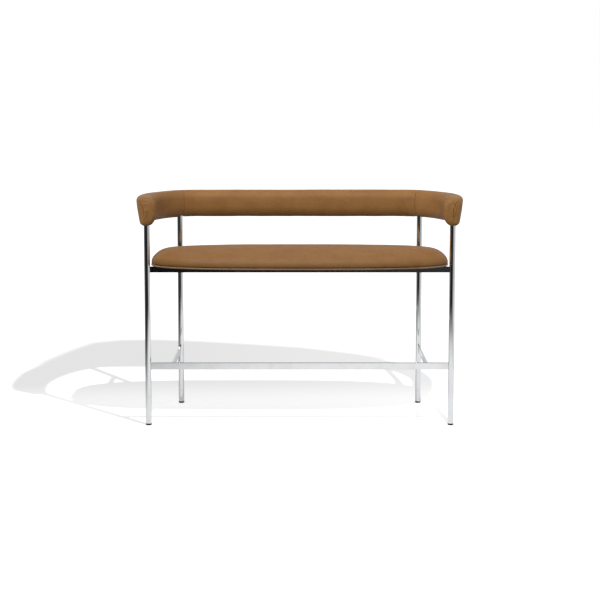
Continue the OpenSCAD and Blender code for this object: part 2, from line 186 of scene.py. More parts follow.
# %% Studio
DARKEST = Vector((-0.669, -0.743, 0.0))  # towards the darkest side of the studio
STUDIO_DARK, STUDIO_LIT = 0.03, 0.8
DARK_END, LIT_START = 0.906, -0.42  # where the wall begins and ends to brighten, as cosines from DARKEST
BEHIND_LENS = 0.2  # what is left of the wall's brightness behind the camera
BEHIND_START = (0.90, 0.97)  # where it fades to that, as cosines from straight behind


def studio_view(tree, direction):
    """How bright the studio looks in a direction."""
    flat = vector_math(tree, "MULTIPLY", direction, (1, 1, 0))[0]
    unit = vector_math(tree, "NORMALIZE", flat)[0]
    side = vector_math(tree, "DOT_PRODUCT", unit, DARKEST)["Value"]
    span = {"Value": side, "From Min": DARK_END, "From Max": LIT_START}
    span |= {"To Min": STUDIO_DARK, "To Max": STUDIO_LIT}
    wall = node(tree, "ShaderNodeMapRange", span).outputs["Result"]
    ahead = vector_math(tree, "DOT_PRODUCT", unit, (0, -1, 0))["Value"]
    return math(tree, "MULTIPLY", wall, ramp(tree, ahead, *BEHIND_START, 1, BEHIND_LENS))


def length(tree, vector, middle=(0, 0, 0)):
    return vector_math(tree, "LENGTH", vector_math(tree, "SUBTRACT", vector, middle)[0])["Value"]


print("studio, for mirrors:", STUDIO_DARK, "to", STUDIO_LIT)

# %% [markdown]
# ## The floor
# The sofa stands on a white sweep. Lamps alone could make it white, but it would throw too much light
# up at the sofa. So most of its white is a glow that only the camera, mirrors and glass see, and the
# rest is what a lamp adds. Where the lamp is blocked, the sofa's shadow is left as a pale grey, and its
# depth is painted shade in the glow. The glow is lower behind the sofa and along its front than under
# its middle, and it rises to the right. A painted contact shade from an occlusion node darkens it close
# round the feet. Far from the sofa the floor is white by itself.
#
# To mirrors, the lit part of the sweep ends a few steps in front of the sofa, and the floor beyond it is
# as dark as the studio in that direction.

# %% Floor sizes
LAMP_SHARE = 0.6  # the floor's own colour, for what the lamp adds
BOUNCE = 0.16  # its colour for the light that it throws up at the sofa
UNDER_FRONT, UNDER_MIDDLE, UNDER_BACK = 0.72, 0.84, 0.70  # the floor's glow in the shadow
UNDER_SLOPE = 0.055  # what it gains per metre to the right
UNDER_LEAST, UNDER_MOST = 0.66, 0.92
# Painted contact shade: how far and how much the glow is darkened round the feet
CONTACT_REACH, CONTACT_DARK = 0.15, 0.55  # the deeper shadow round the feet
GLOW_FAR = 0.93
FAR_START, FAR_END = 1.9, 3.4  # distances between which the shadow's glow gives way to the far one
SWEEP_MIDDLE, SWEEP_LIT = (0.5, -0.3, 0), 0.85  # the part of the sweep that mirrors see lit
SWEEP_START, SWEEP_END = 1.0, 3.2  # distances from its middle between which it gets dark
MIRRORED_GLOW = 0.62
FLOOR_HALF = 60
print("floor: glow", UNDER_MIDDLE, "in the middle of the shadow")

# %% Floor material
material, tree, shader = new_material("white_sweep")
place = object_place(tree)
spot = axes(tree, place)
path = node(tree, "ShaderNodeLightPath").outputs
lit = ramp(tree, length(tree, place, SWEEP_MIDDLE), SWEEP_START, SWEEP_END, SWEEP_LIT, 0)
reflected = math(tree, "MAXIMUM", lit, studio_view(tree, place))
mirrored = math(tree, "MAXIMUM", path["Is Glossy Ray"], path["Is Transmission Ray"])
seen = math(tree, "MULTIPLY", reflected, mirrored)

# Painted shade: the shadow's depth is set in the glow by where a point lies on the floor
front = ramp(tree, spot["Y"], -0.25, 0.2, UNDER_FRONT, UNDER_MIDDLE)
back = ramp(tree, spot["Y"], 0.25, 0.7, UNDER_MIDDLE, UNDER_BACK)
under = math(tree, "ADD", math(tree, "MINIMUM", front, back), math(tree, "MULTIPLY", spot["X"], UNDER_SLOPE))
under = math(tree, "MAXIMUM", UNDER_LEAST, math(tree, "MINIMUM", under, UNDER_MOST))
# Painted contact shade: an occlusion node darkens the glow close round the feet
near = node(tree, "ShaderNodeAmbientOcclusion", {"Distance": CONTACT_REACH}).outputs["AO"]
under = math(tree, "MULTIPLY", under, ramp(tree, near, 0, 1, CONTACT_DARK, 1))
far = ramp(tree, length(tree, place), FAR_START, FAR_END)
glow = node(tree, "ShaderNodeMix", {0: far, 2: under, 3: GLOW_FAR}).outputs[0]
glow = math(tree, "MULTIPLY", glow, path["Is Camera Ray"])
shine = math(tree, "MULTIPLY", seen, MIRRORED_GLOW)

own = math(tree, "MULTIPLY", path["Is Camera Ray"], LAMP_SHARE)
own = math(tree, "ADD", own, math(tree, "MULTIPLY", seen, LAMP_SHARE))
own = math(tree, "MAXIMUM", own, BOUNCE)
own = math(tree, "MULTIPLY", own, math(tree, "MAXIMUM", reflected, math(tree, "SUBTRACT", 1.0, mirrored)))
colour = node(tree, "ShaderNodeCombineColor", {"Red": own, "Green": own, "Blue": own}).outputs[0]
feed(tree, shader, Base_Color=colour, Roughness=1, Specular_IOR_Level=0)
feed(tree, shader, Emission_Color=(1, 1, 1, 1), Emission_Strength=math(tree, "ADD", glow, shine))
print("floor material:", material.name)

# %% Floor
mesh = bpy.data.meshes.new("floor")
corners = [(x * FLOOR_HALF, y * FLOOR_HALF, 0) for x, y in ((-1, -1), (1, -1), (1, 1), (-1, 1))]
mesh.from_pydata(corners, [], [(0, 1, 2, 3)])
mesh.materials.append(material)
floor = bpy.data.objects.new("floor", mesh)
bpy.context.scene.collection.objects.link(floor)
print("floor:", 2 * FLOOR_HALF, "m square")

# %% [markdown]
# ## The lamps
# A broad soft panel in front models the leather from above, so that its bellies stay dark, and two
# weaker ones at the sides reach the insides of the arms. The pad has a panel of its own, higher up, so
# that its front and ends turn dark as they do in the photograph. Each panel is a sun with a wide angle,
# because an area lamp would fade along the sofa. Which lamp reaches what is set by light linking, with
# a collection for each group of lamps.

# %% Light linking
FLOOR_ONLY = bpy.data.collections.new("floor_only")
FLOOR_ONLY.objects.link(floor)
PAD_ONLY = bpy.data.collections.new("pad_only")
NOT_PAD = bpy.data.collections.new("not_pad")


def keep_off(collection, obj):
    """Leave an object out of what a lamp with this collection lights."""
    collection.objects.link(obj)
    collection.collection_objects[-1].light_linking.link_state = "EXCLUDE"


def add_lamp(name, kind, strength, receivers, toward):
    """A lamp whose light reaches a collection's receivers; it shines away from the vector toward it."""
    lamp = bpy.data.objects.new(name, bpy.data.lights.new(name, kind))
    lamp.data.energy = strength
    lamp.rotation_mode = "QUATERNION"
    lamp.rotation_quaternion = toward.to_track_quat("Z", "Y")
    lamp.light_linking.receiver_collection = receivers
    bpy.context.scene.collection.objects.link(lamp)
    return lamp


keep_off(NOT_PAD, floor)
print("light groups:", FLOOR_ONLY.name, PAD_ONLY.name, NOT_PAD.name)


# %% Soft panels
def panel(name, strength, spread, azimuth, elevation, receivers=NOT_PAD):
    """A soft panel, as a sun of a wide angle, at an azimuth to the right of the front."""
    a, e = radians(azimuth), radians(elevation)
    lamp = add_lamp(name, "SUN", strength, receivers, Vector((sin(a) * cos(e), -cos(a) * cos(e), sin(e))))
    lamp.data.angle = radians(spread)


panel("main_panel", 2.42, 34, -12, 42)
panel("left_panel", 1.3, 24, -76, 20)
panel("right_panel", 1.05, 24, 70, 36)
panel("pad_panel", 2.95, 34, -10, 63, PAD_ONLY)

# %% [markdown]
# ## The shadow's lamp and its flag
# The crisp shadow comes from a small bare lamp on a tall stand in front of the sofa's right half: the
# two front legs' shadows spread apart, which no sun could do, and where their lines cross back is the
# lamp's place. It lights the floor alone. Behind the sofa the roll's shadow reaches further back than a
# flat floor shows it, so a flag holds the light off that strip as well.
#
# The flag is worked out in the lamp's own nodes. In a lamp's nodes, Incoming is the direction in which
# the lamp shines, so the flag stays where it is on the floor, wherever the camera stands.

# %% Bare lamp
LAMP_PLACE = Vector((0.78, -1.55, 2.95))
LAMP_STRENGTH = 36.0
bare_lamp = add_lamp("bare_lamp", "POINT", 1.0, FLOOR_ONLY, Vector((0, 0, 1)))
bare_lamp.location = LAMP_PLACE
bare_lamp.data.shadow_soft_size = 0.03
bare_lamp.data.use_nodes = True
tree = bare_lamp.data.node_tree
# Where the lamp's ray of a direction meets the floor
ray = axes(tree, node(tree, "ShaderNodeNewGeometry").outputs["Incoming"])
drop = math(tree, "DIVIDE", -LAMP_PLACE.z, ray["Z"])
x = math(tree, "ADD", math(tree, "MULTIPLY", ray["X"], drop), LAMP_PLACE.x)
y = math(tree, "ADD", math(tree, "MULTIPLY", ray["Y"], drop), LAMP_PLACE.y)
print("lamp at", [round(c, 2) for c in LAMP_PLACE])

# %% Flag
# The far edge of the strip that the flag keeps dark, as X and Y on the floor, and its near edge's two
# lines, as Y at X = 0 and slope
FLAG_FAR = [(-1.395, 0.78), (-1.365, 1.111), (-1.287, 1.371), (-1.194, 1.606), (-1.045, 1.688)]
FLAG_FAR += [(-0.814, 1.697), (-0.577, 1.652), (-0.284, 1.571), (0.002, 1.481), (0.169, 1.390)]
FLAG_FAR += [(0.331, 1.291), (0.535, 1.111)]
FLAG_NEAR = ((1.087, 0.0956), (1.835, 0.786))
FLAG_TOP = 1.8  # a Y beyond the strip, because a curve's values go from 0 to 1
FLAG_SOFT = 0.02  # half the width of its blurred edge
left, right = FLAG_FAR[0][0], FLAG_FAR[-1][0]
share = math(tree, "DIVIDE", math(tree, "SUBTRACT", x, left), right - left)
edge = node(tree, "ShaderNodeFloatCurve", {"Value": share})
curve = [((px - left) / (right - left), py / FLAG_TOP) for px, py in FLAG_FAR]
points = edge.mapping.curves[0].points
points[0].location, points[1].location = curve[0], curve[-1]
for place in curve[1:-1]:
    points.new(*place)
for point in points:
    point.handle_type = "VECTOR"
edge.mapping.update()
print("flag: a strip of", len(points), "points, up to", round(max(py for _, py in FLAG_FAR), 2), "m back")

# %% The lamp's light
far = math(tree, "SUBTRACT", math(tree, "MULTIPLY", edge.outputs["Value"], FLAG_TOP), y)
lines = [math(tree, "ADD", math(tree, "MULTIPLY", x, slope), middle) for middle, slope in FLAG_NEAR]
near = math(tree, "SUBTRACT", y, math(tree, "MINIMUM", *lines))
flag = math(tree, "MULTIPLY", *(ramp(tree, reach, -FLAG_SOFT, FLAG_SOFT) for reach in (far, near)))
# The lamp's light is kept from falling off with distance, so that it reaches the whole floor evenly
open_share = math(tree, "MULTIPLY", math(tree, "SUBTRACT", 1.0, flag), LAMP_STRENGTH)
steady = node(tree, "ShaderNodeLightFalloff", {"Strength": open_share}).outputs["Constant"]
tree.links.new(steady, next(n for n in tree.nodes if n.type == "EMISSION").inputs["Strength"])

# %% [markdown]
# ## The world
# The world fills the rest evenly. Mirror rays see the studio's walls and a dim ceiling instead, and the
# camera and glass see plain white. A picture of a real studio could stand here, but a rule needs no file
# and gives each kind of ray its own value.

# %% World
FILL, CEILING = 0.2, 0.3
world = bpy.data.worlds.new("studio")
bpy.context.scene.world = world
world.use_nodes = True
tree = world.node_tree
tree.nodes.clear()
path = node(tree, "ShaderNodeLightPath").outputs
direction = node(tree, "ShaderNodeTexCoord").outputs["Generated"]
height = axes(tree, direction)["Z"]
ceiling = math(tree, "MULTIPLY", ramp(tree, height, 0.2, 0.9), CEILING)
studio = math(tree, "MAXIMUM", studio_view(tree, direction), ceiling)
direct = math(tree, "MAXIMUM", path["Is Camera Ray"], path["Is Transmission Ray"])
strength = node(tree, "ShaderNodeMix", {0: path["Is Glossy Ray"], 2: FILL, 3: studio}).outputs[0]
strength = node(tree, "ShaderNodeMix", {0: direct, 2: strength, 3: 1.0}).outputs[0]
shade = node(tree, "ShaderNodeBackground", {"Color": (1, 1, 1, 1), "Strength": strength})
node(tree, "ShaderNodeOutputWorld", {"Surface": shade.outputs[0]})
bpy.context.scene.view_settings.view_transform = "Standard"
print("world fill", FILL)

# %% [markdown]
# ## Leather
# The cover is a smooth upholstery hide, tan brown with a soft sheen. Close up it has fine pebbles, and
# their valleys are darkened as painted shade in the grain. From a step back its colour drifts a little,
# as a dyed hide does. The welt is the same hide in a paler, greyer copy of its colours, a painted sheen
# along the cord, and both are paler where they are rubbed. A picture of leather would need a layout for
# each piece and would repeat. So both use one grain group with their own values: pebbles from a Voronoi
# texture that a noise bends, and two slow noises for the drift.

# %% Leather grain group
group, given, result = new_group(
    "leather_grain",
    {"Pebble Size": 0.0016, "Drift Size": 0.09},
    ["Valleys", "Drift", "Rub", "Height"],
)
place = object_place(group)
scale = math(group, "DIVIDE", 1.0, given["Pebble Size"])
bend = mottle(group, place, math(group, "MULTIPLY", scale, 0.35), 2)["Color"]
moved = vector_math(group, "ADD", place, vector_math(group, "MULTIPLY", bend, (0.0012,) * 3)[0])[0]
pebbles = node(group, "ShaderNodeTexVoronoi", {"Vector": moved, "Scale": scale}, feature="DISTANCE_TO_EDGE")
rounding = ramp(group, pebbles.outputs["Distance"], 0.0, 0.22)
fine = mottle(group, place, math(group, "MULTIPLY", scale, 2.5), 3)["Fac"]
drift_scale = math(group, "DIVIDE", 1.0, given["Drift Size"])
slow = mottle(group, place, drift_scale, 4, Roughness=0.55)["Fac"]
quick = mottle(group, place, math(group, "MULTIPLY", drift_scale, 6), 3)["Fac"]
group.links.new(math(group, "SUBTRACT", 1.0, rounding), result["Valleys"])
group.links.new(ramp(group, slow, 0.3, 0.7), result["Drift"])
group.links.new(ramp(group, quick, 0.35, 0.75), result["Rub"])
roughened = math(group, "ADD", rounding, math(group, "MULTIPLY", fine, 0.35))
group.links.new(roughened, result["Height"])
leather_grain = group
print("group:", group.name, [s.name for s in group.interface.items_tree])


# %% Leather materials
def leather_material(name, dark, light, valley_shade, roughness, pebble):
    material, tree, shader = new_material(name)
    grain = place_group(tree, leather_grain, Pebble_Size=pebble, Drift_Size=0.09)
    hide = blend(tree, grain["Drift"], dark, light)
    worn = blend(tree, math(tree, "MULTIPLY", grain["Rub"], 0.25), hide, light)
    # Painted shade in the grain: its valleys are darkened by half towards the third colour
    valley_shaded = blend(tree, math(tree, "MULTIPLY", grain["Valleys"], 0.5), worn, valley_shade)
    dull = ramp(tree, grain["Rub"], 0, 1, roughness + 0.05, roughness - 0.04)
    rough = math(tree, "ADD", dull, math(tree, "MULTIPLY", grain["Valleys"], 0.12))
    feed(tree, shader, Base_Color=valley_shaded, Roughness=rough, Specular_IOR_Level=0.24)
    dent(tree, shader, grain["Height"], 0.35, 0.0003)
    return material


# The third colour of each leather is the painted shade in the grain's valleys
leather = leather_material(
    "tan_leather", (0.258, 0.120, 0.034, 1), (0.306, 0.148, 0.044, 1), (0.15, 0.066, 0.02, 1), 0.46, 0.0016
)
# The welt's colours are a paler, greyer copy of the hide's, a painted sheen along the cord
welt_leather = leather_material(
    "welt_leather", (0.20, 0.120, 0.062, 1), (0.27, 0.175, 0.100, 1), (0.12, 0.065, 0.035, 1), 0.4, 0.0011
)
print("leather:", leather.name, welt_leather.name)

# %% [markdown]
# ## Metal
# The tubes and bars are chrome plated. Chrome is nearly a mirror, so most of its look is the studio, but
# hands and cloths leave faint clouds and hairlines that blur it here and there. The fixings are duller
# zinc and the bent core is bare tube. Plain values would look too clean for any of them, so one group
# gives all of them their clouds and hairlines.

# %% Polish group
CLOUD, HAIRLINE = 0.05, 0.0006
group, given, result = new_group(
    "polish", {"Cloud Size": CLOUD, "Hairline Size": HAIRLINE}, ["Clouds", "Hairlines"]
)
place = object_place(group)
clouds = mottle(group, place, math(group, "DIVIDE", 1.0, given["Cloud Size"]), 5, Roughness=0.6)["Fac"]
long = {"Vector": place, "Rotation": (0.3, 0.2, 0.5), "Scale": (1.0, 1.0, 0.04)}
long = node(group, "ShaderNodeMapping", long).outputs[0]
hairs = mottle(group, long, math(group, "DIVIDE", 1.0, given["Hairline Size"]), 2)["Fac"]
group.links.new(ramp(group, clouds, 0.35, 0.75), result["Clouds"])
group.links.new(ramp(group, hairs, 0.6, 0.72), result["Hairlines"])
polish = group
print("group:", group.name, [s.name for s in group.interface.items_tree])


# %% Metals
def metal_material(name, bright, cloudy, clear, blurred, bump_depth=0.0):
    """Metal whose clouds change its colour from bright to cloudy and its roughness from clear to blurred."""
    material, tree, shader = new_material(name)
    marks = place_group(tree, polish, Cloud_Size=CLOUD, Hairline_Size=HAIRLINE)
    rough = ramp(tree, marks["Clouds"], 0, 1, clear, blurred)
    rough = math(tree, "ADD", rough, math(tree, "MULTIPLY", marks["Hairlines"], blurred * 0.5))
    colour = blend(tree, marks["Clouds"], bright, cloudy)
    feed(tree, shader, Base_Color=colour, Roughness=rough, Metallic=1)
    if bump_depth:
        dent(tree, shader, marks["Clouds"], 0.4, bump_depth)
    return material


chrome = metal_material("chrome", (0.78, 0.79, 0.80, 1), (0.72, 0.73, 0.745, 1), 0.03, 0.08)
zinc = metal_material("zinc", (0.62, 0.63, 0.66, 1), (0.50, 0.52, 0.55, 1), 0.28, 0.45, 0.0001)
tube_steel = metal_material("tube_steel", (0.36, 0.35, 0.35, 1), (0.20, 0.19, 0.20, 1), 0.4, 0.6, 0.0003)
print("metals:", chrome.name, zinc.name, tube_steel.name)

# %% [markdown]
# ## Nylon, plywood and cloth
# The glides are black nylon with a faint moulded orange peel. The board is birch ply: its faces have
# long grain, and its edge shows thin layers. The dust cloth under the board is a black non-woven with a
# pattern of tiny pressed dots. No two of them share a pattern, so each has a small tree of its own
# instead of a group.

# %% Nylon
material, tree, shader = new_material("black_nylon")
place = object_place(tree)
peel = mottle(tree, place, 900, 3)["Fac"]
scuff = ramp(tree, mottle(tree, place, 120, 2)["Fac"], 0.5, 0.8)
black = blend(tree, scuff, (0.012, 0.012, 0.012, 1), (0.04, 0.04, 0.04, 1))
feed(tree, shader, Base_Color=black, Roughness=ramp(tree, scuff, 0, 1, 0.42, 0.62))
dent(tree, shader, peel, 0.3, 0.0002)
black_nylon = material
print("material:", material.name)

# %% Plywood
LAYER = 0.0025
material, tree, shader = new_material("birch_ply")
place = object_place(tree)
stretched = node(tree, "ShaderNodeMapping", {"Vector": place, "Scale": (3, 60, 60)}).outputs[0]
grain = mottle(tree, stretched, 3, 6, Distortion=0.6)["Fac"]
layers = math(tree, "PINGPONG", axes(tree, place)["Z"], LAYER)
cross = ramp(tree, layers, LAYER * 0.45, LAYER * 0.55)
face = blend(tree, grain, (0.62, 0.45, 0.26, 1), (0.78, 0.62, 0.42, 1))
up = axes(tree, node(tree, "ShaderNodeNewGeometry").outputs["Normal"])["Z"]
side = math(tree, "SUBTRACT", 1.0, math(tree, "ABSOLUTE", up), clamp=True)
edge = blend(tree, cross, face, (0.42, 0.27, 0.14, 1))
rough = ramp(tree, grain, 0.3, 0.7, 0.6, 0.75)
feed(tree, shader, Base_Color=blend(tree, side, face, edge), Roughness=rough)
dent(tree, shader, grain, 0.3, 0.0003)
birch_ply = material
print("material:", material.name)

# %% Dust cloth
DOT_PITCH = 0.0022
material, tree, shader = new_material("dust_cloth_black")
place = object_place(tree)
dots = node(tree, "ShaderNodeTexVoronoi", {"Vector": place, "Scale": 1 / DOT_PITCH, "Randomness": 0.15})
pressed = ramp(tree, dots.outputs["Distance"], 0.15, 0.4)
fibres = mottle(tree, place, 1500, 4)["Fac"]
black = blend(tree, fibres, (0.012, 0.012, 0.013, 1), (0.05, 0.05, 0.052, 1))
feed(tree, shader, Base_Color=black, Roughness=ramp(tree, pressed, 0, 1, 0.6, 0.92))
fluff = math(tree, "ADD", pressed, math(tree, "MULTIPLY", fibres, 0.4))
dent(tree, shader, fluff, 0.6, 0.0003)
dust_cloth_black = material
print("material:", material.name)

# %% [markdown]
# ## Mesh helpers
# Soft pieces could be sculpted, or bevelled from curves. Here each is made of rings of points with the
# same count, joined by four-sided faces, because every point then lies on a measured line, and a seam
# or a pucker comes out exactly where it belongs. The two ends of a loft are closed by a fan of triangles
# round a middle point, or by a strip across a flat oval.


# %% Rings and pieces
def ring_faces(rings, count, closed=False):
    """Four-sided faces from each ring to the next, and from the last to the first if it is closed."""
    faces = []
    for k in range(rings if closed else rings - 1):
        m = (k + 1) % rings
        for i in range(count):
            j = (i + 1) % count
            faces.append((k * count + i, k * count + j, m * count + j, m * count + i))
    return faces


def add_piece(name, verts, faces, material):
    """A smooth piece with its faces turned outwards."""
    mesh = bpy.data.meshes.new(name)
    mesh.from_pydata(verts, [], faces)
    mesh.materials.append(material)
    tidy = bmesh.new()
    tidy.from_mesh(mesh)
    bmesh.ops.recalc_face_normals(tidy, faces=tidy.faces)
    open_edges = sum(1 for e in tidy.edges if len(e.link_faces) != 2)
    tidy.to_mesh(mesh)
    tidy.free()
    mesh.polygons.foreach_set("use_smooth", [True] * len(mesh.polygons))
    obj = bpy.data.objects.new(name, mesh)
    bpy.context.scene.collection.objects.link(obj)
    print(name, "faces", len(mesh.polygons), "open edges", open_edges)
    return obj


# %% Loft
def loft(name, rings, ends, material):
    """A closed piece through the rings. Each of the two ends is a point, or "strip" to join a ring's
    halves across."""
    count = len(rings[0])
    verts = [tuple(p) for ring in rings for p in ring]
    faces = ring_faces(len(rings), count)
    for first, end, flip in ((0, ends[0], True), ((len(rings) - 1) * count, ends[1], False)):
        if end == "strip":
            for i in range(count // 2):
                a, b = first + i, first + i + 1
                c, d = first + (count - i - 1) % count, first + (count - i) % count
                quad = tuple(dict.fromkeys((a, b, c, d)))
                faces.append(quad[::-1] if flip else quad)
        else:
            verts.append(tuple(end))
            for i in range(count):
                j = (i + 1) % count
                tri = (first + i, first + j, len(verts) - 1)
                faces.append(tri[::-1] if flip else tri)
    return add_piece(name, verts, faces, material)


def ease(x):
    x = min(max(x, 0.0), 1.0)
    return x * x * (3 - 2 * x)


def wave(x, y, z=0.5):
    return noise.noise(Vector((x, y, z)))


# %% [markdown]
# ## The seat pad
# The pad is a plywood board under a block of foam, with one hide pulled over both and stapled beneath.
# From above it is an oval with squared ends, a superellipse. Its edge rounds over in 72 mm, its middle
# is crowned by 7 mm, and the side draws in towards the welt. Tight leather over foam isn't perfectly
# even: it swells and dips by less than a millimetre, and it puckers along the welt and most of all
# round the four corners, where the hide has to shrink to fit.
#
# A rounded box would look stiffer than that. The outline is first sampled by equal steps of length,
# because equal steps of angle bunch its points.

# %% Pad outline
PAD_WIDTH, PAD_DEPTH, PAD_SQUARENESS = 1.266, 0.428, 3.1
PAD_FRONT = FRONT_ROW - 0.128
PAD_MIDDLE = PAD_FRONT + PAD_DEPTH / 2
BAR_TOP = 0.682
PAD_POINTS = 400


def oval(angle, inset):
    """A point of the pad's outline at an angle, drawn in by an inset."""
    c, s, k = cos(angle), sin(angle), 2 / PAD_SQUARENESS
    x = (PAD_WIDTH / 2 - inset) * abs(c) ** k * (1 if c > 0 else -1)
    y = (PAD_DEPTH / 2 - inset) * abs(s) ** k * (1 if s > 0 else -1)
    return x, PAD_MIDDLE + y


def even_angles(count):
    """Angles that step along the outline by equal lengths, the same above and below its long axis."""
    fine = 20000
    line = [oval(pi * i / fine, 0) for i in range(fine + 1)]
    run = [0.0]
    for p, q in zip(line, line[1:]):
        run.append(run[-1] + hypot(q[0] - p[0], q[1] - p[1]))
    half, angles, i = count // 2, [], 0
    for k in range(half + 1):
        while i < fine and run[i] < run[-1] * k / half:
            i += 1
        angles.append(pi * i / fine)
    return angles + [2 * pi - a for a in angles[-2:0:-1]], 2 * run[-1]


pad_angles, PAD_GIRTH = even_angles(PAD_POINTS)
print("pad girth", round(PAD_GIRTH, 3), "m")

# %% Pad form
EDGE_HEIGHT, EDGE_ROUND, PAD_HEIGHT, CROWN = 0.014, 0.072, 0.070, 0.007
DRAWN_IN, HIDE = 0.004, 0.002
WELT_RADIUS, WELT_INSET = 0.0035, 0.002
WELT_Z = BAR_TOP + 0.0048
HEM = 0.0079  # height of the cover's hem above the bars
BOARD_TOP = 0.016


def pad_rise(inset):
    share = min(inset, EDGE_ROUND) / EDGE_ROUND
    rounding = (PAD_HEIGHT - CROWN - EDGE_HEIGHT) * sqrt(1 - (1 - share) ** 2)
    return EDGE_HEIGHT + rounding + CROWN * sin(pi * min(inset, PAD_DEPTH / 2) / PAD_DEPTH)


def corner_share(angle):
    """1 where the outline bends most, 0 along its straight sides."""
    x, y = oval(angle, 0)
    u, v = abs(x) / (PAD_WIDTH / 2), abs(y - PAD_MIDDLE) / (PAD_DEPTH / 2)
    return ease((u - 0.72) / 0.2) * ease((v - 0.2) / 0.35)


def pad_ring(inset, height, skin):
    """One ring of the pad. skin is how much of the leather's unevenness shows in it, 0 to 1."""
    ring = []
    for k, angle in enumerate(pad_angles):
        along = PAD_GIRTH * k / PAD_POINTS
        x, y = oval(angle, inset)
        z = BAR_TOP + height
        if skin:
            low = exp(-max(height - HEM, 0) / 0.014)
            pucker = 0.0007 * low * wave(along / 0.016, 3.1, inset / 0.03)
            fold = 0.0011 * corner_share(angle) * exp(-inset / 0.03) * wave(along / 0.02 + inset / 0.05, 7.7)
            swell = 0.0007 * wave(x / 0.13, y / 0.11, 1.3) + 0.0003 * wave(x / 0.045, y / 0.04, 4.2)
            out = skin * (pucker + fold)
            c, s = cos(angle), sin(angle)
            x += out * c
            y += out * s
            z += skin * (swell * ease(inset / 0.03) + (pucker + fold) * ease(inset / 0.02) * 0.6)
        ring.append((x, y, z))
    return ring


# %% Pad profile
SIDE_STEPS, ROUND_STEPS = 6, 22
profile = [(0.19, BOARD_TOP, 0), (0.12, BOARD_TOP, 0), (0.05, BOARD_TOP, 0), (0.0085, BOARD_TOP, 0)]
profile += [(DRAWN_IN + HIDE, BOARD_TOP - 0.001, 0), (DRAWN_IN + HIDE, HEM + 0.0004, 0)]
profile += [(DRAWN_IN + HIDE - 0.0005, HEM, 0), (DRAWN_IN + 0.0005, HEM, 0)]
for i in range(SIDE_STEPS):
    q = i / SIDE_STEPS
    profile.append((DRAWN_IN * (1 - q) ** 2, HEM + 0.0003 + (EDGE_HEIGHT - HEM - 0.0003) * q, 1))
for i in range(ROUND_STEPS + 1):
    inset = EDGE_ROUND * (1 - cos(pi / 2 * i / ROUND_STEPS))
    profile.append((inset, pad_rise(inset), 1))
for share in (0.39, 0.45, 0.52, 0.6, 0.68, 0.76, 0.84, 0.91, 0.965):
    inset = share * PAD_DEPTH / 2
    profile.append((inset, pad_rise(inset), 1))
seat_pad = loft("seat_pad", [pad_ring(*row) for row in profile], ("strip", "strip"), leather)
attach(seat_pad, "root")
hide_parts("seat_cover", "seat_foam")
PAD_ONLY.objects.link(seat_pad)
keep_off(NOT_PAD, seat_pad)

# %% [markdown]
# ## The pad's hide, under tension
# The hide is drawn over foam that pushes it out, and a short cloth simulation does the same. The
# underside and the hem are pinned, and pressure from inside stretches the hide, so that it swells over
# the foam and eases towards the seam. It could be left as a modifier, but it would then run again at
# every frame, so its result goes into the mesh. How far a point may go is limited, because the pad has
# to stay in its own space.

# %% Cloth settings
SIM_STEPS, PRESSURE = 20, 0.16
MOST_MOVE, MOST_SIDEWAYS = 0.005, 0.0015
HEM_TOP = BAR_TOP + EDGE_HEIGHT + 0.0025


def hide_over_foam(obj):
    """A Cloth modifier that blows the hide out against its pins."""
    cloth = obj.modifiers.new("hide", "CLOTH")
    cloth.collision_settings.use_collision = False
    hide = cloth.settings
    hide.vertex_group_mass = "pins"
    hide.quality = 6
    hide.mass = 0.4
    hide.tension_stiffness = hide.compression_stiffness = 30
    hide.shear_stiffness = 12
    hide.bending_stiffness = 3
    hide.use_pressure = True
    hide.uniform_pressure_force = PRESSURE
    hide.effector_weights.gravity = 0
    return cloth


print("cloth:", SIM_STEPS, "steps, at most", MOST_MOVE * 1000, "mm up")


# %% Simulation helpers
def simulated(obj):
    """How far the simulation moves each point. The modifier doesn't stay on the piece."""
    cloth = hide_over_foam(obj)
    for moment in range(1, SIM_STEPS + 1):
        bpy.context.scene.frame_set(moment)
    settled = obj.evaluated_get(bpy.context.evaluated_depsgraph_get()).data
    moves = [b.co - a.co for a, b in zip(obj.data.vertices, settled.vertices)]
    obj.modifiers.remove(cloth)
    bpy.context.scene.frame_set(1)
    return moves


def averaged(moves, edges):
    """Each move, averaged with its neighbours'."""
    total, count = [move.copy() for move in moves], [1] * len(moves)
    for a, b in (edge.vertices for edge in edges):
        total[a] += moves[b]
        total[b] += moves[a]
        count[a] += 1
        count[b] += 1
    return [t / c for t, c in zip(total, count)]


def limited(move):
    """The move, shortened to the most that a point may go."""
    side = Vector((move.x, move.y, 0))
    side *= min(1.0, MOST_SIDEWAYS / max(side.length, 1e-9))
    return side + Vector((0, 0, max(-MOST_SIDEWAYS, min(MOST_MOVE, move.z))))


# %% The hide, settled
hem = [v.index for v in seat_pad.data.vertices if v.co.z < HEM_TOP]
seat_pad.vertex_groups.new(name="pins").add(hem, 1.0, "REPLACE")
moves = averaged(averaged(simulated(seat_pad), seat_pad.data.edges), seat_pad.data.edges)
seat_pad.vertex_groups.clear()
for i in hem:
    moves[i] = Vector()
for vertex, move in zip(seat_pad.data.vertices, moves):
    vertex.co += limited(move)
print("the hide rose by up to", round(max(limited(move).z for move in moves) * 1000, 1), "mm")

# %% [markdown]
# ## The welt
# A cord rolled in a strip of the same hide is sewn along the pad's lower edge. It is a tube along the
# same outline, a little uneven, because the strip is gathered round the corners. A curve with a round
# bevel would be quicker to make, but perfectly even. Its two ends meet at the middle of the rear, where
# one is tucked under the other.

